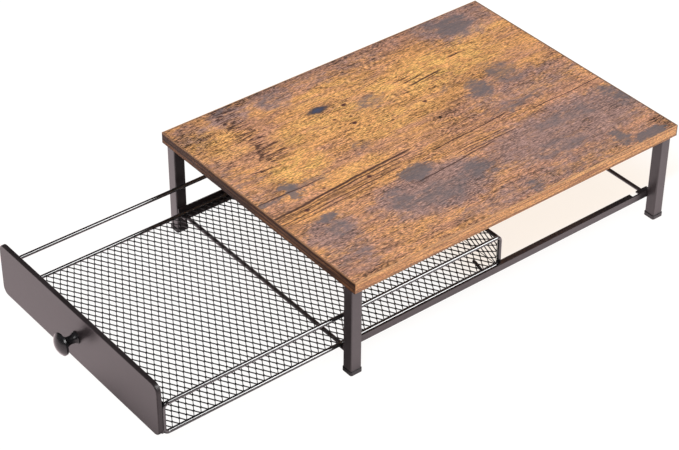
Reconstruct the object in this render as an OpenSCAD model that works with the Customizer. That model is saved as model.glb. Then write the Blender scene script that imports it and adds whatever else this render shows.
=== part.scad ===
// Under-counter pod drawer: a wooden stand on four square legs, with a wire
// basket drawer that slides on two angle ledges.
// Z is up and the drawer pulls out towards -Y. The origin is on the table,
// midway between the knob's tip and the back edge of the board.

/* [Board] */
// Width of the wooden board, left to right
board_w = 296; // [270:1:340]
// Depth of the wooden board, front to back
board_d = 400; // [340:1:460]
// Thickness of the board
board_t = 12; // [9:0.5:20]
// Thickness of the edge band glued round the board
band_t = 0.8; // [0.4:0.1:2]

/* [Stand] */
// Height from the table to the top of the board
stand_h = 111; // [105:1:150]
// Side of the square leg tube
leg_s = 12; // [10:0.5:16]
// Wall of the leg tube
leg_wall = 1.2; // [0.8:0.1:2]
// Radius of the leg tube's outer corners
leg_round = 1.2; // [0.5:0.1:2]
// From the board's side edge to the leg
leg_inset_x = 5.5; // [3:0.5:12]
// From the board's front and back edge to the leg
leg_inset_y = 1.5; // [1:0.5:10]
// Side of the plate that holds a leg to the board
plate_s = 36; // [30:1:46]
// Thickness of that plate
plate_t = 1.6; // [1:0.1:3]
// Height of the foot cap round the leg
foot_h = 4; // [2.5:0.5:8]
// How far the foot cap stands out from the leg
foot_lip = 0.7; // [0.4:0.1:1.5]
// Thickness of the foot cap under the leg
foot_base = 1.7; // [1:0.1:3]
// Depth of the foot cap's plug inside the leg
plug_h = 9; // [5:1:20]

/* [Ledges and crossbars] */
// Height of the underside of the ledges above the table
ledge_z = 21.5; // [18:0.1:32]
// Height of the ledge's upright flange
ledge_h = 7.3; // [5:0.1:12]
// Width of the ledge's flat flange
ledge_w = 11.5; // [9:0.5:16]
// Sheet thickness of the ledge
ledge_t = 1.5; // [1:0.1:2]
// From the board's front and back edge to the ledge's ends
ledge_end = 2.5; // [2:0.5:10]
// Width of the notch that lets a guide hook through
notch_w = 8.6; // [6:0.1:14]
// From the board's back edge to the middle of the notch
notch_y = 21.5; // [20:0.5:40]
// Diameter of the two crossbars
bar_d = 4; // [3:0.5:6]
// From the board's front and back edge to a crossbar
bar_inset = 8.5; // [8:0.5:10]

/* [Drawer] */
// How far the drawer stands open at rest
drawer_open = 198; // [120:1:210]
// Gap at each side between the basket's wires and a ledge's upright flange
basket_gap = 2.5; // [1:0.1:4]
// With the drawer shut, from the basket's rear wires to the board's back edge
basket_rear = 5.5; // [2:0.5:30]
// Height of the basket over its wires
basket_h = 36.6; // [28:0.2:40]
// Diameter of the basket's wires
wire_d = 4; // [3:0.5:5]
// Bend radius of the side wires' corners, at the middle of the wire
bend_r = 5; // [3.5:0.5:10]
// Running gap between the basket and the ledges
slide_gap = 0.3; // [0.2:0.1:1]

/* [Front panel] */
// Gap at each side between the front panel and a leg
panel_gap = 3; // [2:0.5:12]
// Height of the front panel
panel_h = 57.5; // [50:0.5:66]
// Thickness of the front panel
panel_t = 5; // [4.5:0.5:10]
// Radius of the panel's four corners
panel_r = 8; // [4:0.5:14]
// Round along the panel's front and back edges
panel_edge = 1.2; // [0.8:0.1:2]
// How far the panel's lower edge lies above the underside of the wires
panel_lift = 1.8; // [0.6:0.1:4]
// Gap between the panel's back and the basket's front wires
wire_seat = 0.3; // [0.2:0.1:1]
// Width of the two straps that carry the panel
strap_w = 16; // [12:1:24]
// Thickness of the straps
strap_t = 1.5; // [1:0.1:2.5]
// From a side wire to the middle of a strap
strap_in = 40.5; // [20:0.5:80]
// Height of a strap's two screws above and below its middle
strap_pitch = 8; // [6:0.5:9]

/* [Knob] */
// How far the knob stands out from the panel
knob_l = 21; // [18:0.5:26]
// Diameter of the knob's head
knob_d = 22; // [18:0.5:23]
// Diameter of the knob's foot on the panel
knob_foot_d = 12.5; // [10:0.5:14]
// Diameter of the knob's waist
knob_waist_d = 8; // [7:0.5:9]
// Height of the domed part of the head
knob_dome = 4.5; // [3:0.5:6]
// Thickness of the knob's rim, below the dome
knob_rim = 2; // [1:0.1:3]
// Solid part of the knob in front of its screw hole
knob_wall = 3; // [2:0.5:5]
// Radius of the hollow round the knob's waist
knob_cove = 8; // [7.5:0.5:10]

/* [Mesh] */
// Thickness of the expanded sheet
mesh_t = 1; // [0.8:0.1:1.6]
// Long way of a diamond, left to right
mesh_long = 24; // [18:1:40]
// Short way of a diamond
mesh_short = 15.2; // [12:0.2:24]
// Width of a strand
strand_w = 2; // [1.4:0.1:3]
// Width of the plain border round the sheet
mesh_border = 2.5; // [2:0.1:5]

/* [Guide hooks] */
// Diameter of the hook wire
hook_d = 3; // [2.5:0.5:4]
// Length of a hook from its inner end to its tip
hook_l = 19.5; // [17:0.5:26]
// Length of the sloping part of a hook, left to right
hook_run = 10; // [5:0.5:11]
// How far the rounded bends of a hook stand out from its wire
hook_knee = 0.1; // [0.05:0.05:0.3]
// How far the tip reaches under the ledge
hook_reach = 5; // [3:0.5:8]
// Gap between the hook and the underside of the ledge
hook_gap = 0.8; // [0.5:0.1:2]

/* [Screws] */
// Diameter of the wood screws' shanks
screw_d = 3.5; // [2.5:0.5:4]
// Length of a screw below its head
screw_l = 9; // [6:0.5:12]
// Diameter of the screw heads
head_d = 7; // [5.5:0.5:8]
// Height of the screw heads
head_h = 2.2; // [1.5:0.1:3]
// Width of the six-sided socket in a screw head
socket_d = 3; // [2:0.1:3.5]
// Wood left in front of the strap screws' tips
screw_skin = 2; // [1.5:0.1:4]
// Radial gap between a screw and its hole in wood or in the knob
screw_gap = 0.1; // [0.05:0.05:0.3]
// Radial gap between a screw and its hole in a plate or strap
plate_gap = 0.4; // [0.2:0.1:0.6]
// Diameter of the machine screw in the knob
knob_screw_d = 4; // [3:0.5:4]

/* [Hidden] */
$fn = 48;

left = -1;
right = 1;
front = -1;
rear = 1;
wood = [0.55, 0.35, 0.2];
wood_band = [0.68, 0.45, 0.27];
dark_paint = [0.2, 0.19, 0.2];
black_wire = [0.08, 0.08, 0.09];
black_plastic = [0.1, 0.1, 0.1];
zinc = [0.7, 0.7, 0.72];

// Depth: the part runs from the knob's tip to the back edge of the board
reach = drawer_open - leg_inset_y + knob_l;
total_d = board_d + reach;
board_rear_y = total_d / 2;
board_front_y = board_rear_y - board_d;
board_mid_y = (board_front_y + board_rear_y) / 2;

// Stand
board_z = stand_h - board_t;
leg_x = board_w / 2 - leg_inset_x - leg_s / 2;
leg_dy = board_d / 2 - leg_inset_y - leg_s / 2;
leg_in_x = leg_x - leg_s / 2;
leg_top = board_z - plate_t;
leg_bottom = foot_base;
bore_s = leg_s - 2 * leg_wall;
plate_corner = plate_s / 3;
plate_hole = plate_s - leg_s / 2 - head_d;

// Ledges
ledge_top = ledge_z + ledge_t;
ledge_y0 = board_front_y + ledge_end;
ledge_l = board_d - 2 * ledge_end;
ledge_in_x = leg_in_x - ledge_w;
notch_mid = board_rear_y - notch_y;

// Basket, at its rest place
basket_w = 2 * (leg_in_x - ledge_t - basket_gap);
basket_l = board_d - leg_inset_y - panel_t - basket_rear;
panel_front_y = board_front_y + leg_inset_y - drawer_open;
panel_back_y = panel_front_y + panel_t;
wire_r = wire_d / 2;
wire_x = basket_w / 2 - wire_r;
base_z = ledge_top + slide_gap + wire_r;
rim_z = base_z + basket_h - wire_d;
wire_front_y = panel_back_y + wire_seat + wire_r;
wire_rear_y = panel_back_y + basket_l - wire_r;
bend_mid = bend_r * (1 - sqrt(0.5));
rear_rim_y = wire_rear_y - bend_mid;
rear_rim_z = rim_z - bend_mid;
inner_x = wire_x - wire_r;

// Panel and knob
panel_w = 2 * (leg_in_x - panel_gap);
strap_x = wire_x - strap_in;
panel_z = base_z - wire_r + panel_lift;
panel_mid_z = panel_z + panel_h / 2;
strap_mid_z = (base_z + rim_z) / 2;
pocket_d = head_d + 2 * plate_gap;
pocket_h = head_h + plate_gap;
knob_bore_l = knob_l - knob_dome - knob_wall;
edge_w = panel_w - 2 * panel_r;
edge_h = panel_h - 2 * panel_r;
strap_screw_l = panel_t + strap_t - screw_skin;

// Mesh
floor_z = base_z - mesh_t / 2;
floor_y0 = wire_front_y + wire_r;
floor_y1 = rear_rim_y - mesh_t / 2;
rear_mesh_h = rear_rim_z - wire_r - floor_z;

// Guide hooks
hook_y = notch_mid - drawer_open;
hook_r = hook_d / 2;
hook_top_z = floor_z - hook_r;
hook_low_z = ledge_z - hook_gap - hook_r;
hook_drop = hook_top_z - hook_low_z;
hook_tip_x = ledge_in_x + hook_reach;
hook_x1 = ledge_in_x - hook_r;
hook_x0 = hook_x1 - hook_run;

// A short piece put at one side of the middle plane
module on_side(side) {
    mirror([side == left ? 1 : 0, 0, 0]) children();
}

// A piece put at one of the four legs; its own x and y point inwards
module at_leg(side, end) {
    translate([side * leg_x, board_mid_y + end * leg_dy, 0])
        mirror([side == right ? 1 : 0, 0, 0])
        mirror([0, end == rear ? 1 : 0, 0])
        children();
}

// Rectangle with rounded corners, round its own middle
module rounded(w, h, r) {
    flat_w = w - 2 * r;
    flat_h = h - 2 * r;
    square([w, flat_h], center = true);
    square([flat_w, h], center = true);
    for (x = [-flat_w, flat_w]) for (y = [-flat_h, flat_h])
        translate([x, y] / 2) circle(r = r);
}

module rod_x(x0, x1, r) {
    translate([x0, 0, 0]) rotate([0, 90, 0]) cylinder(h = x1 - x0, r = r);
}

module rod_y(y0, y1, r) {
    translate([0, y0, 0]) rotate([-90, 0, 0]) cylinder(h = y1 - y0, r = r);
}

// Bent round wire in the XY plane, round its centre of curvature
module bend(radius, r, from, sweep) {
    rotate([0, 0, from]) rotate_extrude(angle = sweep) translate([radius, 0]) circle(r = r);
}

// A screw along +Z with its domed head below z = 0
module screw(shank_d, length) {
    dome_r = head_d * 0.6;
    cylinder(h = length, d = shank_d);
    difference() {
        intersection() {
            translate([0, 0, -head_h]) cylinder(h = head_h, d = head_d);
            translate([0, 0, dome_r - head_h]) sphere(r = dome_r);
        }
        translate([0, 0, -head_h - 1]) cylinder(h = head_h / 2 + 1, d = socket_d, $fn = 6);
    }
}

// ---- Board ----

module top_board() {
    color(wood) translate([0, board_mid_y, board_z]) difference() {
        translate([-board_w / 2 + band_t, -board_d / 2 + band_t, 0])
            cube([board_w - 2 * band_t, board_d - 2 * band_t, board_t]);
        for (side = [left, right]) for (end = [front, rear])
            translate([0, -board_mid_y, -1]) at_leg(side, end) plate_screw_places()
            cylinder(h = screw_l + 1, d = screw_d + 2 * screw_gap);
    }
}

// The two screw places of a leg plate
module plate_screw_places() {
    translate([plate_hole, 0, 0]) children();
    translate([0, plate_hole, 0]) children();
}

module edge_band_cross(end) {
    color(wood_band)
        translate([-board_w / 2, end == front ? board_front_y : board_rear_y - band_t, board_z])
        cube([board_w, band_t, board_t]);
}

module edge_band_long(side) {
    color(wood_band)
        translate([side == left ? -board_w / 2 : board_w / 2 - band_t, board_front_y + band_t, board_z])
        cube([band_t, board_d - 2 * band_t, board_t]);
}

// ---- Stand ----

module leg(side, end) {
    color(dark_paint) at_leg(side, end) translate([0, 0, leg_bottom])
        linear_extrude(leg_top - leg_bottom) difference() {
            rounded(leg_s, leg_s, leg_round);
            square(bore_s, center = true);
        }
}

// Corner plate on top of a leg, cut off across its inner corner
module leg_plate(side, end) {
    edge = plate_s - leg_s / 2;
    color(dark_paint) at_leg(side, end) translate([0, 0, leg_top]) difference() {
        linear_extrude(plate_t) polygon([
            [-leg_s / 2, -leg_s / 2], [edge, -leg_s / 2], [edge, plate_corner - leg_s / 2],
            [plate_corner - leg_s / 2, edge], [-leg_s / 2, edge]
        ]);
        translate([0, 0, -1]) plate_screw_places()
            cylinder(h = plate_t + 2, d = screw_d + 2 * plate_gap);
    }
}

module plate_screws() {
    color(zinc) for (side = [left, right]) for (end = [front, rear])
        at_leg(side, end) translate([0, 0, leg_top]) plate_screw_places() screw(screw_d, screw_l);
}

// Cap under a leg: a shallow cup outside and a plug inside the tube
module foot_cap(side, end) {
    cup = leg_s + 2 * foot_lip;
    color(black_plastic) at_leg(side, end) {
        difference() {
            linear_extrude(foot_h) rounded(cup, cup, leg_round + foot_lip);
            translate([0, 0, leg_bottom]) linear_extrude(foot_h) rounded(leg_s, leg_s, leg_round);
        }
        translate([-bore_s / 2, -bore_s / 2, 0]) cube([bore_s, bore_s, leg_bottom + plug_h]);
    }
}

// Angle along the inside of the legs; its flat flange carries the basket
module ledge(side) {
    color(dark_paint) on_side(side) difference() {
        union() {
            translate([ledge_in_x, ledge_y0, ledge_z]) cube([ledge_w, ledge_l, ledge_t]);
            translate([leg_in_x - ledge_t, ledge_y0, ledge_z]) cube([ledge_t, ledge_l, ledge_h]);
        }
        translate([ledge_in_x - 1, notch_mid - notch_w / 2, ledge_z - 1])
            cube([ledge_w - ledge_t + 1, notch_w, ledge_t + 2]);
    }
}

module crossbar(end) {
    y = end == front ? board_front_y + bar_inset : board_rear_y - bar_inset;
    color(dark_paint) translate([0, y, ledge_z - bar_d / 2]) rod_x(-leg_in_x, leg_in_x, bar_d / 2);
}

// ---- Drawer front ----

// Outline of the panel, moved in by inset
module panel_outline(inset) {
    rounded(panel_w - 2 * inset, panel_h - 2 * inset, panel_r - inset);
}

// The round along all four edges of one face
module panel_edge_round() {
    for (y = [-1, 1]) translate([0, y * (panel_h / 2 - panel_edge), 0])
        rod_x(-edge_w / 2, edge_w / 2, panel_edge);
    for (x = [-1, 1]) translate([x * (panel_w / 2 - panel_edge), 0, 0])
        rod_y(-edge_h / 2, edge_h / 2, panel_edge);
    for (mx = [0, 1]) for (my = [0, 1]) mirror([mx, 0, 0]) mirror([0, my, 0])
        translate([edge_w / 2, edge_h / 2, 0]) bend(panel_r - panel_edge, panel_edge, 0, 90);
}

module front_panel() {
    color(dark_paint) difference() {
        translate([0, panel_back_y, panel_mid_z]) rotate([90, 0, 0]) {
            translate([0, 0, panel_edge]) linear_extrude(panel_t - 2 * panel_edge) panel_outline(0);
            linear_extrude(panel_t) panel_outline(panel_edge);
            for (z = [panel_edge, panel_t - panel_edge]) translate([0, 0, z]) panel_edge_round();
        }
        translate([0, panel_front_y, panel_mid_z])
            rod_y(-1, panel_t + 1, knob_screw_d / 2 + screw_gap);
        translate([0, panel_back_y, panel_mid_z]) rod_y(-pocket_h, 1, pocket_d / 2);
        strap_screw_places()
            rod_y(strap_t - strap_screw_l - plate_gap, 1, screw_d / 2 + screw_gap);
    }
}

// The four screw places on the back of the panel
module strap_screw_places() {
    for (x = [-strap_x, strap_x]) for (dz = [-strap_pitch, strap_pitch])
        translate([x, panel_back_y, strap_mid_z + dz]) children();
}

// Turned knob: foot, hollow waist and domed head, with a blind hole for its screw
module knob() {
    head_r = knob_d / 2;
    rim_z0 = knob_l - knob_dome - knob_rim;
    cove_x = knob_waist_d / 2 + knob_cove;
    cove_z = rim_z0 - sqrt(knob_cove * knob_cove - (cove_x - head_r) * (cove_x - head_r));
    dome_r = (head_r * head_r + knob_dome * knob_dome) / (2 * knob_dome);
    color(black_plastic) translate([0, panel_front_y, panel_mid_z]) rotate([90, 0, 0])
        rotate_extrude() difference() {
            intersection() {
                square([head_r, knob_l]);
                translate([0, knob_l - dome_r]) circle(r = dome_r);
            }
            translate([cove_x, cove_z]) circle(r = knob_cove);
            translate([knob_foot_d / 2, -1]) square([head_r, cove_z + 1]);
            translate([-1, -1]) square([1 + knob_screw_d / 2 + screw_gap, knob_bore_l + 1]);
        }
}

module knob_screw() {
    color(zinc) translate([0, panel_back_y - pocket_h, panel_mid_z]) rotate([90, 0, 0])
        screw(knob_screw_d, panel_t - pocket_h + knob_bore_l - plate_gap);
}

// Flat strap welded between the two front wires and screwed to the panel
module strap(side) {
    color(black_wire) difference() {
        translate([side * strap_x - strap_w / 2, panel_back_y, base_z + wire_r])
            cube([strap_w, strap_t, rim_z - base_z - wire_d]);
        strap_screw_places() rod_y(-1, strap_t + 1, screw_d / 2 + plate_gap);
    }
}

module strap_screws() {
    color(zinc) strap_screw_places() translate([0, strap_t, 0]) rotate([90, 0, 0])
        screw(screw_d, strap_screw_l);
}

// ---- Basket ----

module corner(y, z, from) {
    translate([0, y, z]) rotate([90, 0, 90]) bend(bend_r, wire_r, from, 90);
}

// One closed loop of wire: rim, rear riser, base run and front riser
module side_wire(side) {
    y0 = wire_front_y;
    y1 = wire_rear_y;
    color(black_wire) translate([side * wire_x, 0, 0]) {
        for (z = [base_z, rim_z]) translate([0, 0, z]) rod_y(y0 + bend_r, y1 - bend_r, wire_r);
        for (y = [y0, y1]) translate([0, y, base_z + bend_r])
            cylinder(h = rim_z - base_z - 2 * bend_r, r = wire_r);
        corner(y1 - bend_r, rim_z - bend_r, 0);
        corner(y0 + bend_r, rim_z - bend_r, 90);
        corner(y0 + bend_r, base_z + bend_r, 180);
        corner(y1 - bend_r, base_z + bend_r, 270);
    }
}

module front_wire(z) {
    color(black_wire) translate([0, wire_front_y, z]) rod_x(-inner_x, inner_x, wire_r);
}

module rear_rim_wire() {
    color(black_wire) translate([0, rear_rim_y, rear_rim_z]) rod_x(-inner_x, inner_x, wire_r);
}

// Sheet of diamonds between (0, 0) and (w, h) inside a plain border
module diamond_sheet(w, h) {
    clear_w = w - 2 * mesh_border;
    clear_h = h - 2 * mesh_border;
    cols = round(clear_w / mesh_long);
    rows = max(1, round(clear_h / mesh_short));
    a = clear_w / cols / 2;
    b = clear_h / rows / 2;
    strand_part = strand_w / 2 / (a * b / sqrt(a * a + b * b));
    ha = a * (1 - strand_part);
    hb = b * (1 - strand_part);
    difference() {
        square([w, h]);
        translate([mesh_border, mesh_border]) intersection() {
            square([clear_w, clear_h]);
            for (i = [0 : 2 * cols]) for (j = [0 : 2 * rows]) if ((i + j) % 2 == 1)
                translate([i * a, j * b]) polygon([[ha, 0], [0, hb], [-ha, 0], [0, -hb]]);
        }
    }
}

module floor_mesh() {
    color(black_wire) translate([-inner_x, floor_y0, floor_z])
        linear_extrude(mesh_t) diamond_sheet(2 * inner_x, floor_y1 - floor_y0);
}

module rear_mesh() {
    color(black_wire) translate([-inner_x, floor_y1 + mesh_t, floor_z]) rotate([90, 0, 0])
        linear_extrude(mesh_t) diamond_sheet(2 * inner_x, rear_mesh_h);
}

// Bent wire under the mesh: down beside the ledge and out beneath its flange
module guide_hook(side) {
    slope = sqrt(hook_run * hook_run + hook_drop * hook_drop);
    color(black_wire) on_side(side) translate([0, hook_y, 0]) {
        translate([0, 0, hook_top_z]) rod_x(hook_tip_x - hook_l, hook_x0, hook_r);
        translate([0, 0, hook_low_z]) rod_x(hook_x1, hook_tip_x, hook_r);
        translate([hook_x0, 0, hook_top_z]) {
            sphere(r = hook_r + hook_knee);
            rotate([0, atan(hook_drop / hook_run), 0]) rod_x(0, slope, hook_r);
        }
        translate([hook_x1, 0, hook_low_z]) sphere(r = hook_r + hook_knee);
    }
}

top_board();
edge_band_cross(front);  // edge_band_front
edge_band_cross(rear);  // edge_band_rear
edge_band_long(left);  // edge_band_left
edge_band_long(right);  // edge_band_right
leg(left, front);  // leg_front_left
leg(right, front);  // leg_front_right
leg(left, rear);  // leg_rear_left
leg(right, rear);  // leg_rear_right
leg_plate(left, front);  // leg_plate_front_left
leg_plate(right, front);  // leg_plate_front_right
leg_plate(left, rear);  // leg_plate_rear_left
leg_plate(right, rear);  // leg_plate_rear_right
plate_screws();
foot_cap(left, front);  // foot_cap_front_left
foot_cap(right, front);  // foot_cap_front_right
foot_cap(left, rear);  // foot_cap_rear_left
foot_cap(right, rear);  // foot_cap_rear_right
ledge(left);  // ledge_left
ledge(right);  // ledge_right
crossbar(front);  // crossbar_front
crossbar(rear);  // crossbar_rear
front_panel();
knob();
knob_screw();
strap(left);  // strap_left
strap(right);  // strap_right
strap_screws();
side_wire(left);  // side_wire_left
side_wire(right);  // side_wire_right
front_wire(rim_z);  // front_rim_wire
front_wire(base_z);  // front_base_wire
rear_rim_wire();
floor_mesh();
rear_mesh();
guide_hook(left);  // guide_hook_left
guide_hook(right);  // guide_hook_right
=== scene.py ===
import math

import bmesh
import bpy
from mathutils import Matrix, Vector


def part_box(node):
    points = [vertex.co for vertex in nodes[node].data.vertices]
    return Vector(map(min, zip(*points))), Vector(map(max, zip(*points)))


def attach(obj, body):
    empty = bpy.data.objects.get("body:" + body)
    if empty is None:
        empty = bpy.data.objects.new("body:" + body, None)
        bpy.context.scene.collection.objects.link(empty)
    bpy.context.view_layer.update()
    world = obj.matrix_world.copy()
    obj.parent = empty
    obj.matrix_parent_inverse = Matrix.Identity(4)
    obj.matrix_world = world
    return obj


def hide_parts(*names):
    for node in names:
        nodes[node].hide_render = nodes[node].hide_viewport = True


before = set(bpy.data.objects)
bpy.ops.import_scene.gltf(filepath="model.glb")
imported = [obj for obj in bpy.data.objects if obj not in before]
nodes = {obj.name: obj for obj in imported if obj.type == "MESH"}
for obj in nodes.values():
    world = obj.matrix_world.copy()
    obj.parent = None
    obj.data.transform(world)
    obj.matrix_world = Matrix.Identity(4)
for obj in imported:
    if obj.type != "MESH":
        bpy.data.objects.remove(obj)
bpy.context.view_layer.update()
mm = 0.001


def put(tree, kind, **sockets):
    n = tree.nodes.new(kind)
    for key, value in sockets.items():
        name = key.replace("_", " ")
        if isinstance(value, bpy.types.NodeSocket):
            tree.links.new(value, n.inputs[name])
        else:
            n.inputs[name].default_value = value
    return n


def calc(tree, op, a, b=0.0, c=0.0, clamp=False):
    n = tree.nodes.new("ShaderNodeMath")
    n.operation = op
    n.use_clamp = clamp
    for i, value in enumerate((a, b, c)):
        if isinstance(value, bpy.types.NodeSocket):
            tree.links.new(value, n.inputs[i])
        else:
            n.inputs[i].default_value = value
    return n.outputs[0]


def smooth(tree, value, lo, hi):
    n = tree.nodes.new("ShaderNodeMapRange")
    n.interpolation_type = "SMOOTHSTEP"
    tree.links.new(value, n.inputs["Value"])
    n.inputs["From Min"].default_value = lo
    n.inputs["From Max"].default_value = hi
    return n.outputs["Result"]


def mixed(tree, fac, a, b):
    n = tree.nodes.new("ShaderNodeMix")
    n.data_type = "RGBA"
    for sock, value in ((n.inputs[0], fac), (n.inputs[6], a), (n.inputs[7], b)):
        if isinstance(value, bpy.types.NodeSocket):
            tree.links.new(value, sock)
        elif isinstance(value, tuple):
            sock.default_value = (*value[:3], 1)
        else:
            sock.default_value = value
    return n.outputs[2]


def scaled(tree, color, factor):
    n = tree.nodes.new("ShaderNodeVectorMath")
    n.operation = "SCALE"
    tree.links.new(color, n.inputs[0])
    tree.links.new(factor, n.inputs["Scale"])
    return n.outputs[0]


def stretched(tree, vec, scale, shift=(0, 0, 0)):
    return put(tree, "ShaderNodeMapping", Vector=vec, Scale=scale, Location=shift).outputs[0]


def noise(tree, vec, scale, detail=3.0, rough=0.5, shift=(0, 0, 0)):
    place = stretched(tree, vec, scale, shift)
    n = put(tree, "ShaderNodeTexNoise", Vector=place, Scale=1.0, Detail=detail, Roughness=rough)
    return n.outputs[0]


def pattern(tree, vec, scale, detail, rough, shift, lo, hi):
    return smooth(tree, noise(tree, vec, scale, detail, rough, shift), lo, hi)


def newMat(name, rough=0.5, metal=0.0):
    mat = bpy.data.materials.new(name)
    mat.use_nodes = True
    bsdf = mat.node_tree.nodes["Principled BSDF"]
    bsdf.inputs["Roughness"].default_value = rough
    bsdf.inputs["Metallic"].default_value = metal
    return mat, mat.node_tree, bsdf


def bumped(tree, bsdf, height, distance, strength=0.5):
    n = put(tree, "ShaderNodeBump", Height=height, Distance=distance, Strength=strength)
    tree.links.new(n.outputs[0], bsdf.inputs["Normal"])


def strongest(tree, parts):
    total = parts[0]
    for part in parts[1:]:
        total = calc(tree, "MAXIMUM", total, part)
    return total


# Pushes each place sideways by noise, so that a shape drawn there gets a ragged outline
def displaced(tree, p, scale, shift, rough, reach):
    blur = put(tree, "ShaderNodeTexNoise", Vector=stretched(tree, p, scale, shift),
               Scale=1.0, Detail=5.0, Roughness=rough)
    push = tree.nodes.new("ShaderNodeVectorMath")
    push.operation = "MULTIPLY_ADD"
    tree.links.new(blur.outputs["Color"], push.inputs[0])
    push.inputs[1].default_value = (*reach, 0)
    tree.links.new(p, push.inputs[2])
    out = put(tree, "ShaderNodeSeparateXYZ", Vector=push.outputs[0])
    return [calc(tree, "SUBTRACT", out.outputs[i], reach[i] / 2) for i in range(2)]


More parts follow.
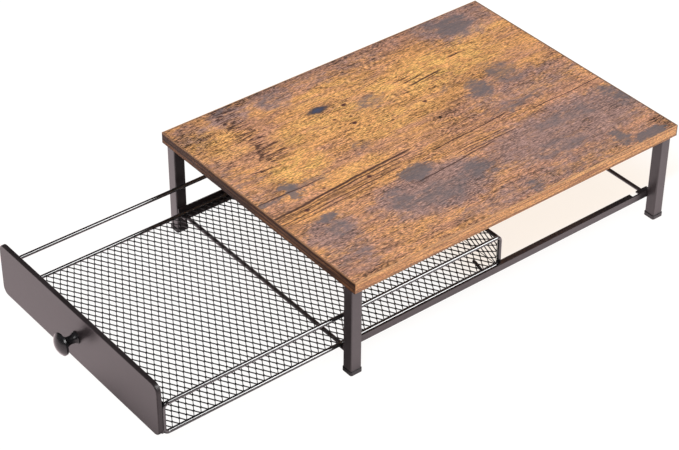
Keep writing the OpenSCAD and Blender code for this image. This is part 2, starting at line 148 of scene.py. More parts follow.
# The board's pattern is laid out in mm: x across, y back from the board's front edge
board = {
    "frontY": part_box("edge_band_front")[0].y / mm,
    # half width and length of the whole top
    "half": 148,
    "length": 400,
    "sun": (0.94, 0.52, 0.155),
    "gold": (0.83, 0.395, 0.14),
    "orange": (0.62, 0.3, 0.18),
    "mauve": (0.4, 0.24, 0.21),
    "smoke": (0.172, 0.145, 0.154),
    "pore": (0.07, 0.03, 0.024),
    "rim": (0.1, 0.06, 0.05),
    "pit": (0.09, 0.03, 0.028),
    "knotEdge": (0.08, 0.062, 0.07),
    "knotHeart": (0.07, 0.08, 0.14),
    # how much pale fibres, dark flecks, long streaks, dim areas and lifted areas change the colour
    "grain": (0.5, 0.8, 0.28, 0.36, 0.34),
    # patterns: stretch, detail, roughness, shift, where each starts and where it is full
    "drift": ((0.05, 0.012, 0.05), 6.0, 0.7, (3.1, 0.4, 0), 0.38, 0.62),
    "patch": ((0.1, 0.05, 0.1), 5.0, 0.7, (6, 3, 0), 0.4, 0.6),
    "fibre": ((1.3, 0.2, 1.0), 1.0, 0.5, (1, 8, 0), 0.46, 0.58),
    "fleck": ((1.35, 0.24, 1.0), 1.0, 0.5, (0, 0, 0), 0.46, 0.57),
    "vein": ((0.8, 0.06, 0.8), 2.0, 0.6, (7, 2, 0), 0.49, 0.6),
    "busy": ((0.03, 0.018, 0.03), 3.0, 0.5, (9, 5, 0), 0.35, 0.62),
    "streak": ((0.45, 0.011, 0.45), 4.0, 0.65, (4, 4, 0), 0.42, 0.6),
    "thread": ((0.62, 0.0045, 0.6), 2.0, 0.5, (5, 1, 0), 0.5, 0.6),
    # noises used as they are: stretch, detail, roughness, shift
    "rag": ((0.16, 0.07, 0.16), 6.0, 0.75, (2, 7, 0)),
    "ripple": ((0.03, 0.022, 0.05), 3.0, 0.5, (2, 2, 0)),
    "crack": ((0.34, 0.035, 0.2), 1.0, 0.5, (4, 1, 0)),
    # what pushes the zones and the blots about: stretch, shift, roughness, reach in mm
    "wobble": ((0.04, 0.022, 0.04), (0, 0, 0), 0.65, (22, 36)),
    "fray": ((0.13, 0.07, 0.13), (8, 8, 0), 0.7, (26, 44)),
    # how far in from the edge the dark rim starts and is full, and where it is strongest
    "rimWidth": (2.2, 0.8),
    "rimLeft": (-120, -144),
    "rimBack": (380, 397),
    "rough": 0.42,
    # broad worn zones, then the light ones: x, y, half size across, half size along, strength
    "worn": [
        (84, 150, 36, 76, 1.0), (84, 320, 40, 120, 0.9), (4, 330, 30, 80, 0.6), (8, 240, 20, 34, 0.2),
        (116, 26, 28, 34, 0.6), (-132, 350, 36, 60, 0.8), (-134, 66, 24, 26, 0.75),
        (-134, 115, 24, 30, 0.65), (-138, 210, 22, 90, 0.5), (132, 260, 18, 150, 0.6),
        (76, 34, 27, 34, 0.85), (-60, 4, 70, 16, 0.4), (4, 12, 30, 20, 0.4), (-124, 20, 22, 26, 0.5),
    ],
    "bright": [
        (-22, 68, 22, 34, 1.0), (-66, 130, 22, 60, 0.7), (-72, 275, 28, 84, 1.0),
        (-104, 170, 18, 50, 0.5), (-30, 190, 20, 50, 0.6), (14, 110, 12, 44, 0.5),
        (-100, 30, 30, 30, 0.45), (118, 90, 18, 26, 0.1), (-96, 350, 12, 50, 0.5),
    ],
    # soft darker and lighter areas
    "dim": [
        (-148, 60, 11, 90, 0.9), (-148, 200, 11, 80, 0.7), (-124, 12, 36, 26, 0.85),
        (142, 396, 26, 18, 0.9), (144, 32, 12, 22, 0.75), (140, 140, 14, 18, 0.55),
        (-4, 31, 14, 16, 0.75), (-14, 236, 14, 42, 0.6), (-36, 300, 13, 34, 0.55),
        (-122, 291, 14, 20, 0.6), (-56, 92, 14, 20, 0.5), (-52, 4, 14, 14, 0.55), (46, 92, 10, 20, 0.5),
        (-110, 205, 22, 20, 0.3), (138, 300, 14, 40, 0.4), (-148, 295, 12, 30, 0.5),
    ],
    "lift": [
        (-106, 345, 14, 18, 0.7), (-70, 250, 12, 24, 0.6), (20, 175, 12, 26, 0.5),
        (46, 342, 12, 20, 0.6), (20, 396, 26, 12, 0.6), (94, 345, 12, 14, 0.45),
        (-104, 240, 12, 14, 0.4), (52, 270, 12, 16, 0.35),
    ],
    # smoky blots with a shape of their own
    "blots": [
        (52, 152, 12, 19, 1.2), (78, 112, 19, 15, 0.85), (92, 150, 18, 36, 0.75),
        (82, 200, 16, 20, 0.85), (74, 38, 13, 15, 0.8), (57, 42, 5, 11, 1.3), (6, 40, 13, 8, 1.35),
        (4, 60, 4, 30, 0.7), (8, 10, 4, 20, 0.8), (-12, 134, 12, 12, 0.6), (-17, 293, 18, 15, 1.0),
        (-27, 328, 22, 20, 0.8), (-39, 264, 6, 8, 0.7), (-67, 192, 12, 20, 0.68),
        (-124, 346, 21, 25, 1.0), (-138, 330, 14, 24, 0.6), (130, 343, 15, 11, 1.0),
        (142, 370, 6, 18, 1.9), (72, 394, 22, 14, 0.85), (104, 290, 14, 34, 0.6),
        (24, 300, 8, 40, 0.65), (-142, 66, 9, 14, 0.5), (118, 26, 9, 26, 0.55), (70, 330, 14, 50, 0.62),
        (-30, 20, 4, 26, 0.6), (136, 226, 9, 12, 0.7), (-128, 116, 14, 16, 0.6),
    ],
    # long dark seams: x at the start, y from, y to, slope, width
    "seams": [
        (33, -20, 176, -0.07, 1.9), (44, -20, 150, -0.045, 0.8), (38, -20, 90, -0.05, 0.6),
        (30, 60, 175, -0.05, 0.7), (36, 178, 290, -0.06, 1.0), (66, 132, 250, -0.06, 0.9),
        (41, 300, 420, -0.02, 0.8), (58, 200, 284, -0.03, 0.7), (-64, 232, 290, -0.09, 1.6),
        (-71, 230, 270, -0.1, 1.2), (-62, 252, 286, -0.14, 0.8), (-81, 296, 330, 0.0, 1.2),
        (-78, 226, 256, -0.04, 0.8), (-58, 214, 244, 0.05, 0.8), (4, -10, 84, 0.02, 0.9),
        (-40, 20, 56, 0.14, 1.0), (48, -20, 120, -0.04, 0.6), (40, -20, 165, -0.055, 0.6),
        (36, -20, 170, -0.06, 0.6), (54, 192, 280, -0.03, 0.6), (50, 195, 270, -0.02, 0.6),
    ],
    # a band of fine dark lines: middle x, half width, y from, y to
    "threads": (34, 16, -20, 290),
    # a column of short cracks: middle y, half width, from this x outwards
    "checks": (62, 15, -24),
    "knot": (-86, 141, 6, 14),
    "dots": [
        (37, 33, 2.6, 3, 1.0), (31, 111, 2.6, 3, 1.0), (-47, 156, 2.2, 3, 1.0),
        (-78, 167, 2.4, 3.6, 1.0), (-63, 144, 1.8, 2.4, 0.8), (-34, 234, 2.2, 3, 0.9),
        (-58, 160, 1.8, 2.4, 0.8), (20, 66, 1.8, 2.4, 0.8),
    ],
}


def boardCoords(tree):
    tex = tree.nodes.new("ShaderNodeTexCoord")
    return stretched(tree, tex.outputs["Object"], (1000, 1000, 1000), (0, -board["frontY"], 0))


def spots(tree, places, px, py, rim):
    parts = []
    for x, y, rx, ry, amount in places:
        dx = calc(tree, "DIVIDE", calc(tree, "SUBTRACT", px, x), rx)
        dy = calc(tree, "DIVIDE", calc(tree, "SUBTRACT", py, y), ry)
        d = calc(tree, "MULTIPLY_ADD", dx, dx, calc(tree, "MULTIPLY", dy, dy))
        parts.append(calc(tree, "MULTIPLY", smooth(tree, d, rim, 0.1), amount))
    return strongest(tree, parts)


# gold to orange in streaks, brighter and worn in places
def groundTone(t, p, lx, ly, rag):
    drift = pattern(t, p, *board["drift"])
    glow = spots(t, board["bright"], lx, ly, 1.7)
    drift = calc(t, "SUBTRACT", drift, calc(t, "MULTIPLY", glow, 0.75), clamp=True)
    color = mixed(t, drift, board["gold"], board["orange"])
    patch = pattern(t, p, *board["patch"])
    color = mixed(t, calc(t, "MULTIPLY", glow, patch), color, board["sun"])
    worn = calc(t, "MULTIPLY_ADD", spots(t, board["worn"], lx, ly, 1.7), 0.5, rag)
    return mixed(t, calc(t, "MULTIPLY", smooth(t, worn, 0.58, 0.95), 0.95), color, board["mauve"])


# pale fibres, short dark flecks and longer veins along the grain, as a factor on the colour
def woodGrain(t, p, lx, ly):
    fibre, fleck, vein, busy, streak = (
        pattern(t, p, *board[key]) for key in ("fibre", "fleck", "vein", "busy", "streak")
    )
    busy = calc(t, "MULTIPLY_ADD", busy, 0.3, 0.64)
    dark = calc(t, "MULTIPLY", strongest(t, (fleck, vein)), busy)
    pale, deep, long, dim, lift = board["grain"]
    grain = calc(t, "MULTIPLY_ADD", dark, -deep, calc(t, "MULTIPLY_ADD", fibre, pale, 1.12))
    grain = calc(t, "MULTIPLY_ADD", streak, -long, grain)
    grain = calc(t, "MULTIPLY_ADD", spots(t, board["dim"], lx, ly, 1.7), -dim, grain)
    grain = calc(t, "MULTIPLY_ADD", spots(t, board["lift"], lx, ly, 1.7), lift, grain)
    return grain, fleck, dark


# seams, fine threads beside them, and one column of short cracks
def darkLines(t, p, tx, ty, by, rag):
    ripple = calc(t, "SUBTRACT", noise(t, p, *board["ripple"]), 0.5)
    rx = calc(t, "MULTIPLY_ADD", ripple, 6, tx)
    lines = []
    for x, y0, y1, slope, width in board["seams"]:
        path = calc(t, "MULTIPLY_ADD", ty, slope, x - slope * y0)
        off = calc(t, "ABSOLUTE", calc(t, "SUBTRACT", rx, path))
        ends = calc(t, "MULTIPLY", smooth(t, ty, y0, y0 + 14), smooth(t, ty, y1, y1 - 14))
        lines.append(calc(t, "MULTIPLY", smooth(t, off, 1.1 * width, 0.4 * width), ends))

    mid, half, y0, y1 = board["threads"]
    thread = pattern(t, p, *board["thread"])
    inBand = smooth(t, calc(t, "ABSOLUTE", calc(t, "SUBTRACT", rx, mid)), half, half * 0.6)
    ends = calc(t, "MULTIPLY", smooth(t, ty, y0, y0 + 20), smooth(t, ty, y1, y1 - 60))
    inBand = calc(t, "MULTIPLY", inBand, ends)
    lines.append(calc(t, "MULTIPLY", calc(t, "MULTIPLY", thread, inBand), 0.5))

    mid, half, start = board["checks"]
    waves = calc(t, "SUBTRACT", noise(t, p, *board["crack"]), 0.5)
    cracks = smooth(t, calc(t, "ABSOLUTE", waves), 0.085, 0.03)
    cracks = calc(t, "MULTIPLY", cracks, smooth(t, rag, 0.36, 0.46))
    inRow = smooth(t, calc(t, "ABSOLUTE", calc(t, "SUBTRACT", by, mid)), half, half * 0.6)
    inRow = calc(t, "MULTIPLY", inRow, smooth(t, tx, start, start - 30))
    lines.append(calc(t, "MULTIPLY", cracks, inRow))
    return strongest(t, lines)


# one knot with a ragged pointed outline
def withKnot(t, color, tx, ty, fleck):
    kx, ky, ka, kb = board["knot"]
    dx = calc(t, "ABSOLUTE", calc(t, "DIVIDE", calc(t, "SUBTRACT", tx, kx), ka))
    dy = calc(t, "ABSOLUTE", calc(t, "DIVIDE", calc(t, "SUBTRACT", ty, ky), kb))
    d = calc(t, "ADD", calc(t, "POWER", dx, 1.6), calc(t, "POWER", dy, 1.2))
    d = calc(t, "MULTIPLY_ADD", calc(t, "SUBTRACT", fleck, 0.3), 0.3, d)
    color = mixed(t, smooth(t, d, 1.35, 0.5), color, board["knotEdge"])
    return mixed(t, smooth(t, d, 0.7, 0.1), color, board["knotHeart"])


# the foil is darker where it meets the edge bands, most of all on the left and at the back
def withRim(t, color, tx, ty):
    middle = board["length"] / 2
    ex = calc(t, "SUBTRACT", board["half"], calc(t, "ABSOLUTE", tx))
    ey = calc(t, "SUBTRACT", middle, calc(t, "ABSOLUTE", calc(t, "SUBTRACT", ty, middle)))
    rim = smooth(t, calc(t, "MINIMUM", ex, ey), *board["rimWidth"])
    far = strongest(t, (smooth(t, tx, *board["rimLeft"]), smooth(t, ty, *board["rimBack"])))
    share = calc(t, "MULTIPLY_ADD", far, 0.65, 0.2)
    return mixed(t, calc(t, "MULTIPLY", rim, share), color, board["rim"])


def rustic():
    mat, t, bsdf = newMat("rusticBoard", board["rough"])
    p = boardCoords(t)
    tight = put(t, "ShaderNodeSeparateXYZ", Vector=p)
    tx, ty = tight.outputs[0], tight.outputs[1]
    lx, ly = displaced(t, p, *board["wobble"])
    bx, by = displaced(t, p, *board["fray"])
    rag = noise(t, p, *board["rag"])
    grain, fleck, dark = woodGrain(t, p, lx, ly)
    color = scaled(t, groundTone(t, p, lx, ly, rag), grain)

    # the blots lie over the grain, and let a little of it through
    blot = spots(t, board["blots"], bx, by, 1.9)
    blot = calc(t, "MULTIPLY_ADD", blot, 0.6, calc(t, "MULTIPLY", rag, 1.3))
    veil = calc(t, "MULTIPLY_ADD", dark, -0.2, 0.92)
    color = mixed(t, calc(t, "MULTIPLY", smooth(t, blot, 0.78, 1.32), veil), color, board["smoke"])

    line = darkLines(t, p, tx, ty, by, rag)
    color = mixed(t, calc(t, "MULTIPLY", line, 0.93), color, board["pore"])
    color = mixed(t, spots(t, board["dots"], tx, ty, 1.4), color, board["pit"])
    color = withKnot(t, color, tx, ty, fleck)
    color = withRim(t, color, tx, ty)
    t.links.new(color, bsdf.inputs["Base Color"])
    rough = calc(t, "MULTIPLY_ADD", fleck, 0.14, board["rough"] - 0.04)
    t.links.new(rough, bsdf.inputs["Roughness"])
    bumped(t, bsdf, calc(t, "SUBTRACT", calc(t, "MULTIPLY", dark, -0.4), line), 0.0002)
    return mat


# shine is the specular level; streaks and the two arris bands are heights above the table in mm; top is
# the colour of the painted highlight along the upper arris
bands = {
    "rough": 0.45, "highlightBand": (109.9, 110.7), "lower": (99.9, 99.3),
    "grain": (0.012, 0.04, 0.42), "speck": ((0.4, 0.4, 0.9), 1.0, 0.5, (3, 3, 3), 0.44, 0.62),
    "side": {
        "light": (0.7, 0.35, 0.135), "dark": (0.46, 0.2, 0.082), "line": (0.16, 0.07, 0.035),
        "top": (0.6, 0.33, 0.17), "along": "y", "shine": 0.25, "streaks": (100.6,),
    },
    "front": {
        "light": (0.15, 0.064, 0.03), "dark": (0.045, 0.022, 0.014), "line": (0.014, 0.008, 0.007),
        "top": (0.36, 0.19, 0.1), "along": "x", "shine": 0.05, "streaks": (107.9, 103.6),
    },
}


def edgeBand(name, look):
    mat, t, bsdf = newMat(name, bands["rough"])
    p = boardCoords(t)
    bsdf.inputs["Specular IOR Level"].default_value = look["shine"]
    along, across, up = bands["grain"]
    grain = (across, along, up) if look["along"] == "y" else (along, across, up)
    wide = pattern(t, p, grain, 4.0, 0.6, (0, 0, 0), 0.4, 0.6)
    fine = pattern(t, p, tuple(g * 1.9 for g in grain), 2.0, 0.6, (5, 1, 2), 0.5, 0.62)
    speck = pattern(t, p, *bands["speck"])
    color = mixed(t, wide, look["light"], look["dark"])
    color = mixed(t, calc(t, "MULTIPLY", fine, 0.6), color, look["line"])
    color = scaled(t, color, calc(t, "MULTIPLY_ADD", speck, -0.5, 1.2))
    # darker streaks at set heights, a painted highlight along the upper arris and a dark lower one
    z = put(t, "ShaderNodeSeparateXYZ", Vector=p).outputs[2]
    wave = calc(t, "SUBTRACT", noise(t, p, (0.02, 0.02, 0), 3.0), 0.5)
    z = calc(t, "MULTIPLY_ADD", wave, 3, z)
    for height in look["streaks"]:
        off = calc(t, "ABSOLUTE", calc(t, "SUBTRACT", z, height))
        color = mixed(t, calc(t, "MULTIPLY", smooth(t, off, 1.1, 0.3), 0.75), color, look["line"])
    # painted highlight: the top edge of the band is drawn lighter
    color = mixed(t, calc(t, "MULTIPLY", smooth(t, z, *bands["highlightBand"]), 0.8), color, look["top"])
    color = mixed(t, calc(t, "MULTIPLY", smooth(t, z, *bands["lower"]), 0.6), color, look["line"])
    t.links.new(color, bsdf.inputs["Base Color"])
    bumped(t, bsdf, fine, 0.0001)
    return mat


# peel and cloud are how fine its two noises are, uneven is how much lighter the clouds get
paint = {
    "base": (0.019, 0.0145, 0.0155), "rough": 0.33, "shine": 0.5, "panelShine": 0.19,
    "peel": 900, "cloud": 38, "uneven": 1.45,
}
feet = {"base": (0.008, 0.0075, 0.0085), "rough": 0.5}


def powderCoat(name, base, rough, shine):
    mat, t, bsdf = newMat(name, rough)
    bsdf.inputs["Specular IOR Level"].default_value = shine
    tex = t.nodes.new("ShaderNodeTexCoord").outputs["Object"]
    peel = noise(t, tex, (paint["peel"],) * 3, 2.0)
    cloud = noise(t, tex, (paint["cloud"],) * 3, 4.0, 0.6)
    light = tuple(c * paint["uneven"] for c in base)
    color = mixed(t, smooth(t, cloud, 0.3, 0.7), base, light)
    t.links.new(color, bsdf.inputs["Base Color"])
    t.links.new(calc(t, "MULTIPLY_ADD", cloud, 0.1, rough - 0.05), bsdf.inputs["Roughness"])
    bumped(t, bsdf, peel, 0.00006, 0.35)
    return mat


wires = {"base": (0.008, 0.0075, 0.008), "rough": 0.17, "coat": 0.35, "meshRough": 0.32}
gloss = {"run": 160, "uneven": 1.8, "coatRough": 0.08}
turnedKnob = {"base": (0.008, 0.0075, 0.0085), "rough": 0.26, "shine": 0.3}


def glossCoat(name, base, rough, coat=0.0, shine=0.5):
    mat, t, bsdf = newMat(name, rough)
    bsdf.inputs["Specular IOR Level"].default_value = shine
    tex = t.nodes.new("ShaderNodeTexCoord").outputs["Object"]
    run = noise(t, tex, (gloss["run"],) * 3, 3.0)
    light = tuple(c * gloss["uneven"] for c in base)
    color = mixed(t, smooth(t, run, 0.35, 0.7), base, light)
    t.links.new(color, bsdf.inputs["Base Color"])
    t.links.new(calc(t, "MULTIPLY_ADD", run, 0.12, rough - 0.05), bsdf.inputs["Roughness"])
    bsdf.inputs["Coat Weight"].default_value = coat
    bsdf.inputs["Coat Roughness"].default_value = gloss["coatRough"]
    bumped(t, bsdf, run, 0.00005, 0.3)
    return mat


screws = {"dull": (0.5, 0.5, 0.52), "bright": (0.72, 0.72, 0.7), "rough": (0.22, 0.25), "grain": 700}


def zincPlate():
    mat, t, bsdf = newMat("zincPlate", 0.35, 1.0)
    tex = t.nodes.new("ShaderNodeTexCoord").outputs["Object"]
    fine = noise(t, tex, (screws["grain"],) * 3, 3.0, 0.6)
    least, spread = screws["rough"]
    t.links.new(mixed(t, fine, screws["dull"], screws["bright"]), bsdf.inputs["Base Color"])
    t.links.new(calc(t, "MULTIPLY_ADD", fine, spread, least), bsdf.inputs["Roughness"])
    return mat


mats = {
    "top": rustic(),
    "bandSide": edgeBand("bandSide", bands["side"]),
    "bandFront": edgeBand("bandFront", bands["front"]),
    "paint": powderCoat("greyPaint", paint["base"], paint["rough"], paint["shine"]),
    "panel": powderCoat("panelPaint", paint["base"], paint["rough"], paint["panelShine"]),
    "wire": glossCoat("blackWire", wires["base"], wires["rough"], wires["coat"]),
    "mesh": glossCoat("blackMesh", wires["base"], wires["meshRough"]),
    "knob": glossCoat("knobPlastic", turnedKnob["base"], turnedKnob["rough"], shine=turnedKnob["shine"]),
    "foot": powderCoat("footPlastic", feet["base"], feet["rough"], paint["shine"]),
    "zinc": zincPlate(),
}
dress = {
    "top_board": "top", "edge_band_left": "bandSide", "edge_band_right": "bandSide",
    "edge_band_front": "bandFront", "edge_band_rear": "bandFront",
    "front_panel": "panel", "knob": "knob", "knob_screw": "zinc",
    "plate_screws": "zinc", "strap_screws": "zinc",
}
for name, obj in nodes.items():
    if name in dress:
        key = dress[name]
    elif name.startswith("foot_cap"):
        key = "foot"
    elif name.startswith(("leg_", "ledge_", "crossbar_")):
        key = "paint"
    else:
        key = "wire"
    obj.data.materials.clear()
    obj.data.materials.append(mats[key])
print("materials done")


def addMesh(name, bm, mat, body, flat=False):
    me = bpy.data.meshes.new(name)
    bm.normal_update()
    bm.to_mesh(me)
    bm.free()
    for poly in me.polygons:
        poly.use_smooth = not flat
    me.materials.append(mats[mat])
    obj = bpy.data.objects.new(name, me)
    bpy.context.scene.collection.objects.link(obj)
    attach(obj, body)
    return obj


# long and short way of a diamond, width and thickness of a strand, how far it tips, half a joint's width
mesh = {
    "long": 12 * mm, "short": 7.6 * mm, "strand": 0.85 * mm, "thick": 0.6 * mm,
    "tilt": 0.22 * mm, "bond": 0.8 * mm,
}


# Expanded metal: each opening is cut from its own diamond cell, and its strands are tipped a little
def expandedSheet(bm, width, height, place):
    a, b = mesh["long"] / 2, mesh["short"] / 2
    cols, rows = round(width / a), round(height / b)
    a, b = width / cols, height / rows
    share = mesh["strand"] / 2 / (a * b / math.hypot(a, b))
    ha, hb, k = a * (1 - share), b * (1 - share * 0.8), mesh["bond"]
    hb -= k * hb / ha
    half = mesh["thick"] / 2
    for j in range(rows + 1):
        for i in range(cols + 1):
            if (i + j) % 2:
                continue
            cx, cy = i * a, j * b
            outer = [(-a, 0, 0), (0, b, 0), (a, 0, 0), (0, -b, 0)]
            inner = [(-ha, 0, 0), (-k, hb, -1), (k, hb, -1), (ha, 0, 0), (k, -hb, 1), (-k, -hb, 1)]
            rings = []
            for loop in (outer, inner):
                for up in (1, -1):
                    ring = []
                    for x, y, lift in loop:
                        px, py = min(max(cx + x, 0), width), min(max(cy + y, 0), height)
                        ring.append(bm.verts.new(place(px, py, up * half + lift * mesh["tilt"])))
                    rings.append(ring)
            oTop, oLow, iTop, iLow = rings
            faces = []
            for o, n, flip in ((oTop, iTop, False), (oLow, iLow, True)):
                parts = [
                    [o[0], n[0], n[1], o[1]], [o[1], n[1], n[2]], [o[1], n[2], n[3], o[2]],
                    [o[2], n[3], n[4], o[3]], [o[3], n[4], n[5]], [o[3], n[5], n[0], o[0]],
                ]
                faces += [list(reversed(f)) if not flip else f for f in parts]
            for q in range(6):
                r = (q + 1) % 6
                faces.append([iTop[q], iTop[r], iLow[r], iLow[q]])
            for f in faces:
                if len({tuple(round(c, 7) for c in v.co) for v in f}) >= 3:
                    bm.faces.new(f)


def meshPanel(name, node, place, width, height):
    bm = bmesh.new()
    expandedSheet(bm, width, height, place)
    bmesh.ops.remove_doubles(bm, verts=bm.verts, dist=1e-6)
    bmesh.ops.dissolve_degenerate(bm, edges=bm.edges, dist=1e-6)
    bmesh.ops.recalc_face_normals(bm, faces=bm.faces)
    obj = addMesh(name, bm, "mesh", "drawer", flat=True)
    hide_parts(node)


lo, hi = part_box("floor_mesh")
midZ = (lo.z + hi.z) / 2
meshPanel("floorLattice", "floor_mesh", lambda x, y, h: (lo.x + x, lo.y + y, midZ + h),
          hi.x - lo.x, hi.y - lo.y)
rlo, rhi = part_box("rear_mesh")
midY = (rlo.y + rhi.y) / 2
meshPanel("rearLattice", "rear_mesh", lambda x, y, h: (rlo.x + x, midY + h, rlo.z + y),
          rhi.x - rlo.x, rhi.z - rlo.z)
print("mesh panels done")

hook = {
    "wire": 3 * mm, "tail": 3 * mm, "run": 10 * mm, "foot": 6.5 * mm, "knee": 0.1 * mm,
    "bend": 3.2 * mm, "chamfer": 0.25 * mm, "sides": 20, "steps": 8,
}


# A short bent wire: tail under the mesh, slope, then a foot that reaches under the ledge
def bentHook(name, node):
    lo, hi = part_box(node)
    side = 1 if lo.x > 0 else -1
    tip = max(abs(lo.x), abs(hi.x))
    r = hook["wire"] / 2
    top, low = hi.z - r - hook["knee"], lo.z + r + hook["knee"]
    x1 = tip - hook["foot"]
    x0 = x1 - hook["run"]
    slope = math.atan2(top - low, hook["run"])
    cut = hook["bend"] * math.tan(slope / 2)
    # each point of the path: x, z and how far the wire slopes down there
    path = [(x0 - hook["tail"], top, 0)]
    bends = (
        (x0 - cut, top, 0, slope),
        (x1 - cut * math.cos(slope), low + cut * math.sin(slope), slope, 0),
    )
    for x, z, first, last in bends:
        turn = 1 if last > first else -1
        reach = turn * hook["bend"]
        cx, cz = x - reach * math.sin(first), z - reach * math.cos(first)
        for i in range(hook["steps"] + 1):
            a = first + (last - first) * i / hook["steps"]
            path.append((cx + reach * math.sin(a), cz + reach * math.cos(a), a))
    path.append((tip, low, 0))
    # the cut ends have a small chamfer
    soft = hook["chamfer"]
    rings = [(path[0], r - soft), ((path[0][0] + soft, top, 0), r)]
    rings += [(q, r) for q in path[1:-1]]
    rings += [((tip - soft, low, 0), r), (path[-1], r - soft)]
    bm = bmesh.new()
    midY = (lo.y + hi.y) / 2
    loops = []
    for (x, z, a), radius in rings:
        loop = []
        for j in range(hook["sides"]):
            f = 2 * math.pi * j / hook["sides"]
            n = radius * math.cos(f)
            outX = side * (x + n * math.sin(a))
            loop.append(bm.verts.new((outX, midY + radius * math.sin(f), z + n * math.cos(a))))
        loops.append(loop)
    for one, two in zip(loops, loops[1:]):
        for j in range(hook["sides"]):
            k = (j + 1) % hook["sides"]
            bm.faces.new((one[j], one[k], two[k], two[j]))
    bm.faces.new(loops[0])
    bm.faces.new(loops[-1])
    bmesh.ops.recalc_face_normals(bm, faces=bm.faces)
    obj = addMesh(name, bm, "wire", "drawer")
    for cap in obj.data.polygons[-2:]:
        cap.use_smooth = False
    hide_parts(node)


bentHook("hookRight", "guide_hook_right")
bentHook("hookLeft", "guide_hook_left")
print("hooks done")

floor = {
    "size": 6, "drop": 0.4 * mm,
    # what the camera sees: colour beside the board, painted shadow colour below the board, and how much
    # light the paper takes
    "open": (0.95, 0.94, 0.93), "under": (0.92, 0.835, 0.75), "share": 0.12,
    # what lights the part from below
    "bounce": (1, 0.985, 0.96), "bounceShare": 0.86, "bouncePower": 0.28,
    # what the paint mirrors: colour, strength, and how much painted shade darkens it under the part
    "mirror": (1, 0.84, 0.865), "shine": 2.1, "shade": 0.92,
    # soft borders in metres: where a zone starts and where it is full
    "shadowPool": {
        "right": (0.108, 0.092), "left": (-0.19, -0.05), "front": (0.05, 0.13), "back": (0.43, 0.32),
    },
    "dark": {
        "front": (-0.33, -0.28), "back": (0.16, 0.08), "side": (0.16, 0.13),
        "board": (-0.11, -0.08), "right": (-0.03, 0.04),
    },
}


def floorPlane():
    bm = bmesh.new()
    bmesh.ops.create_grid(bm, x_segments=1, y_segments=1, size=floor["size"])
    me = bpy.data.meshes.new("floor")
    bm.to_mesh(me)
    bm.free()
    obj = bpy.data.objects.new("floor", me)
    obj.location.z = -floor["drop"]
    bpy.context.scene.collection.objects.link(obj)
    mat = bpy.data.materials.new("floorPaper")
    mat.use_nodes = True
    t = mat.node_tree
    t.nodes.clear()
    out = t.nodes.new("ShaderNodeOutputMaterial")
    path = t.nodes.new("ShaderNodeLightPath")

    def glowing(color, share, strength=1.0):
        n = t.nodes.new("ShaderNodeAddShader")
        paper = put(t, "ShaderNodeBsdfDiffuse", Color=(share,) * 3 + (1,))
        glow = put(t, "ShaderNodeEmission", Color=(*color, 1), Strength=strength)
        t.links.new(paper.outputs[0], n.inputs[0])
        t.links.new(glow.outputs[0], n.inputs[1])
        return n

    def chosen(fac, a, b):
        n = t.nodes.new("ShaderNodeMixShader")
        t.links.new(fac, n.inputs[0])
        t.links.new(a.outputs[0], n.inputs[1])
        t.links.new(b.outputs[0], n.inputs[2])
        return n

    spot = put(t, "ShaderNodeSeparateXYZ", Vector=t.nodes.new("ShaderNodeTexCoord").outputs["Object"])
    x, y = spot.outputs[0], spot.outputs[1]
    # painted shadow: the paper is drawn warmer and darker under the back of the board
    zone = floor["shadowPool"]
    shadowPool = calc(t, "MULTIPLY", smooth(t, x, *zone["right"]), smooth(t, x, *zone["left"]))
    shadowPool = calc(t, "MULTIPLY", shadowPool, smooth(t, y, *zone["front"]))
    shadowPool = calc(t, "MULTIPLY", shadowPool, smooth(t, y, *zone["back"]))
    seen = chosen(shadowPool, glowing(floor["open"], floor["share"]), glowing(floor["under"], floor["share"]))
    # painted shade: its mirror image is darkened under the board, and before it on the right only; less
    # of it at the back legs
    zone = floor["dark"]
    paler = calc(t, "MULTIPLY_ADD", smooth(t, y, *zone["back"]), 0.66, 0.34)
    shade = calc(t, "MULTIPLY", smooth(t, y, *zone["front"]), paler)
    shade = calc(t, "MULTIPLY", shade, smooth(t, calc(t, "ABSOLUTE", x), *zone["side"]))
    place = strongest(t, (smooth(t, y, *zone["board"]), smooth(t, x, *zone["right"])))
    shade = calc(t, "MULTIPLY", shade, place)
    power = calc(t, "MULTIPLY_ADD", shade, -floor["shade"] * floor["shine"], floor["shine"])
    mirror = put(t, "ShaderNodeEmission", Color=(*floor["mirror"], 1), Strength=power)
    bounce = glowing(floor["bounce"], floor["bounceShare"], floor["bouncePower"])
    lit = chosen(path.outputs["Is Camera Ray"], bounce, seen)
    last = chosen(path.outputs["Is Glossy Ray"], lit, mirror)
    t.links.new(last.outputs[0], out.inputs[0])
    me.materials.append(mat)


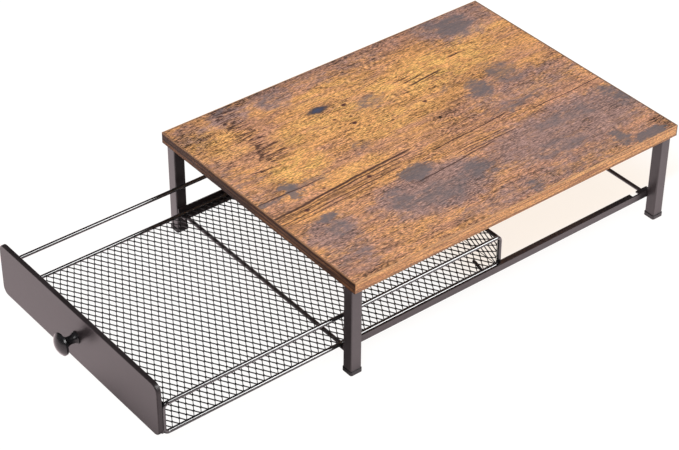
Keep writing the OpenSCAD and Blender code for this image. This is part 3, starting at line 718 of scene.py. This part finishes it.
# place, point aimed at, size and power of each softbox, then the strength of the world
lights = {
    "key": ((1.1, -1.2, 1.9), (0, 0, 0.05), (1.1, 0.8), 24),
    "fill": ((-1.6, -0.9, 1.3), (0, 0, 0.05), (1.2, 0.9), 8),
    "strip": ((1.15, 0.85, 1.1), (0.1, -0.05, 0.04), (0.75, 1.5), 85),
    "sky": 0.66,
    "skyShine": 0.035,
}


def sky():
    world = bpy.data.worlds.new("studio")
    bpy.context.scene.world = world
    world.use_nodes = True
    t = world.node_tree
    t.nodes.clear()
    out = t.nodes.new("ShaderNodeOutputWorld")
    path = t.nodes.new("ShaderNodeLightPath")
    seen = put(t, "ShaderNodeBackground", Color=(1, 1, 1, 1), Strength=1.0)
    soft = put(t, "ShaderNodeBackground", Color=(1, 0.985, 0.965, 1), Strength=lights["sky"])
    shine = put(t, "ShaderNodeBackground", Color=(1, 1, 1, 1), Strength=lights["skyShine"])
    first = t.nodes.new("ShaderNodeMixShader")
    t.links.new(path.outputs["Is Glossy Ray"], first.inputs[0])
    t.links.new(soft.outputs[0], first.inputs[1])
    t.links.new(shine.outputs[0], first.inputs[2])
    second = t.nodes.new("ShaderNodeMixShader")
    t.links.new(path.outputs["Is Camera Ray"], second.inputs[0])
    t.links.new(first.outputs[0], second.inputs[1])
    t.links.new(seen.outputs[0], second.inputs[2])
    t.links.new(second.outputs[0], out.inputs[0])


def softbox(name):
    place, aim, size, power = lights[name]
    data = bpy.data.lights.new(name, "AREA")
    data.shape = "RECTANGLE"
    data.size, data.size_y = size
    data.energy = power
    obj = bpy.data.objects.new(name, data)
    obj.location = place
    obj.rotation_euler = (Vector(aim) - Vector(place)).to_track_quat("-Z", "Y").to_euler()
    bpy.context.scene.collection.objects.link(obj)
    return obj


floorPlane()
sky()
softbox("key")
softbox("fill").visible_glossy = False
softbox("strip").visible_diffuse = False     # this one only draws the white line along the wires

view = {
    "sensor": 36, "lens": 111.05,
    "place": (1.25488, -0.99339, 1.24698), "turn": (53.0984, -0.3227, 51.6103),
}
cam = bpy.data.objects.new("camera", bpy.data.cameras.new("camera"))
cam.data.sensor_width = view["sensor"]
cam.data.lens = view["lens"]
cam.location = view["place"]
cam.rotation_euler = tuple(math.radians(a) for a in view["turn"])
bpy.context.scene.collection.objects.link(cam)
bpy.context.scene.camera = cam
bpy.context.scene.view_settings.view_transform = "Standard"
print("stage done")
